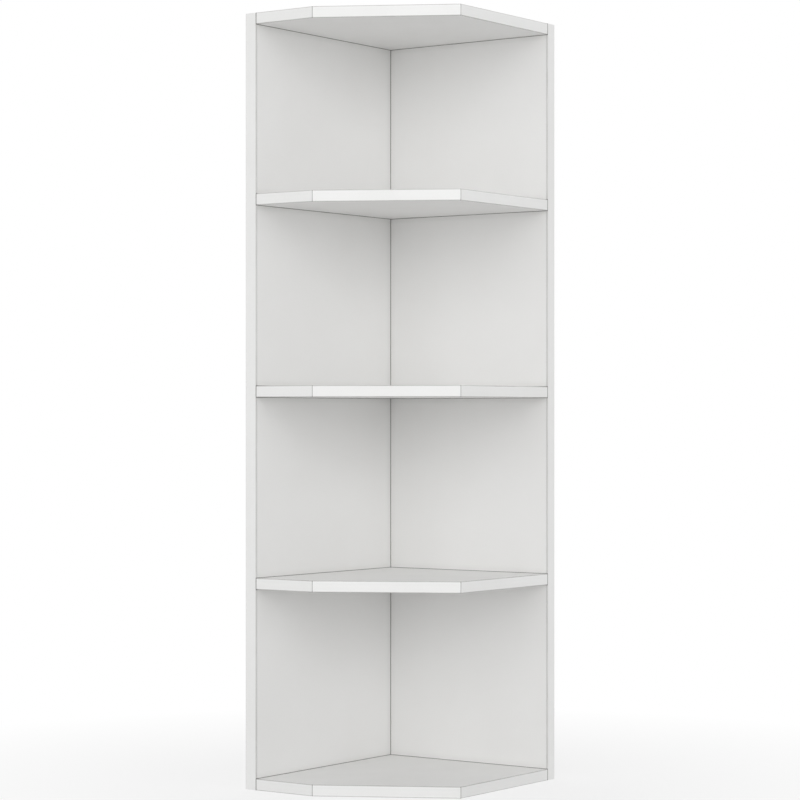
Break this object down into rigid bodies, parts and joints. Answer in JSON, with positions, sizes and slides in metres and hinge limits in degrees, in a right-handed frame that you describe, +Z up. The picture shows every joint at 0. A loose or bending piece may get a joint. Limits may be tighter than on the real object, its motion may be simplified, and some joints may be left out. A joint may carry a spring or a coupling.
{
  "type": "shelf end unit",
  "caption": "Tall open kitchen end shelf: a side and a back panel at a right angle with clipped-corner boards between them, hung on the wall by keyhole plates.",
  "frame": {"origin": "centre of the unit's rectangular footprint, on the underside of the bottom board", "axes": "+Z up; +X along the back panel, from the side panel to the open end; +Y to the wall, so the room is at -Y"},
  "size_m": [0.3, 0.345, 1.1],
  "materials": {
    "white_melamine": "white melamine-faced chipboard with a fine satin texture, raw chipboard on cut edges and in holes",
    "white_edging": "white plastic edging, satin, with rounded edges",
    "zinc_steel": "zinc-plated steel",
    "beech": "plain turned beech"
  },
  "bodies": {
    "root": {"back_joint_dowels": "beech", "back_joint_screws": "zinc_steel", "back_panel": "white_melamine", "back_panel_bottom_edging": "white_edging", "back_panel_end_edging": "white_edging", "back_panel_top_edging": "white_edging", "bottom_board": "white_melamine", "bottom_board_diagonal_edging": "white_edging", "bottom_board_end_edging": "white_edging", "bottom_board_front_edging": "white_edging", "corner_joint_dowels": "beech", "corner_joint_screws": "zinc_steel", "hanger_plate_screws": "zinc_steel", "left_hanger_plate": "zinc_steel", "lower_shelf": "white_melamine", "lower_shelf_diagonal_edging": "white_edging", "lower_shelf_end_edging": "white_edging", "lower_shelf_front_edging": "white_edging", "middle_shelf": "white_melamine", "middle_shelf_diagonal_edging": "white_edging", "middle_shelf_end_edging": "white_edging", "middle_shelf_front_edging": "white_edging", "right_hanger_plate": "zinc_steel", "side_joint_dowels": "beech", "side_joint_screws": "zinc_steel", "side_panel": "white_melamine", "side_panel_bottom_edging": "white_edging", "side_panel_front_edging": "white_edging", "side_panel_top_edging": "white_edging", "top_board": "white_melamine", "top_board_diagonal_edging": "white_edging", "top_board_end_edging": "white_edging", "top_board_front_edging": "white_edging", "upper_shelf": "white_melamine", "upper_shelf_diagonal_edging": "white_edging", "upper_shelf_end_edging": "white_edging", "upper_shelf_front_edging": "white_edging"}
  },
  "joints": []
}
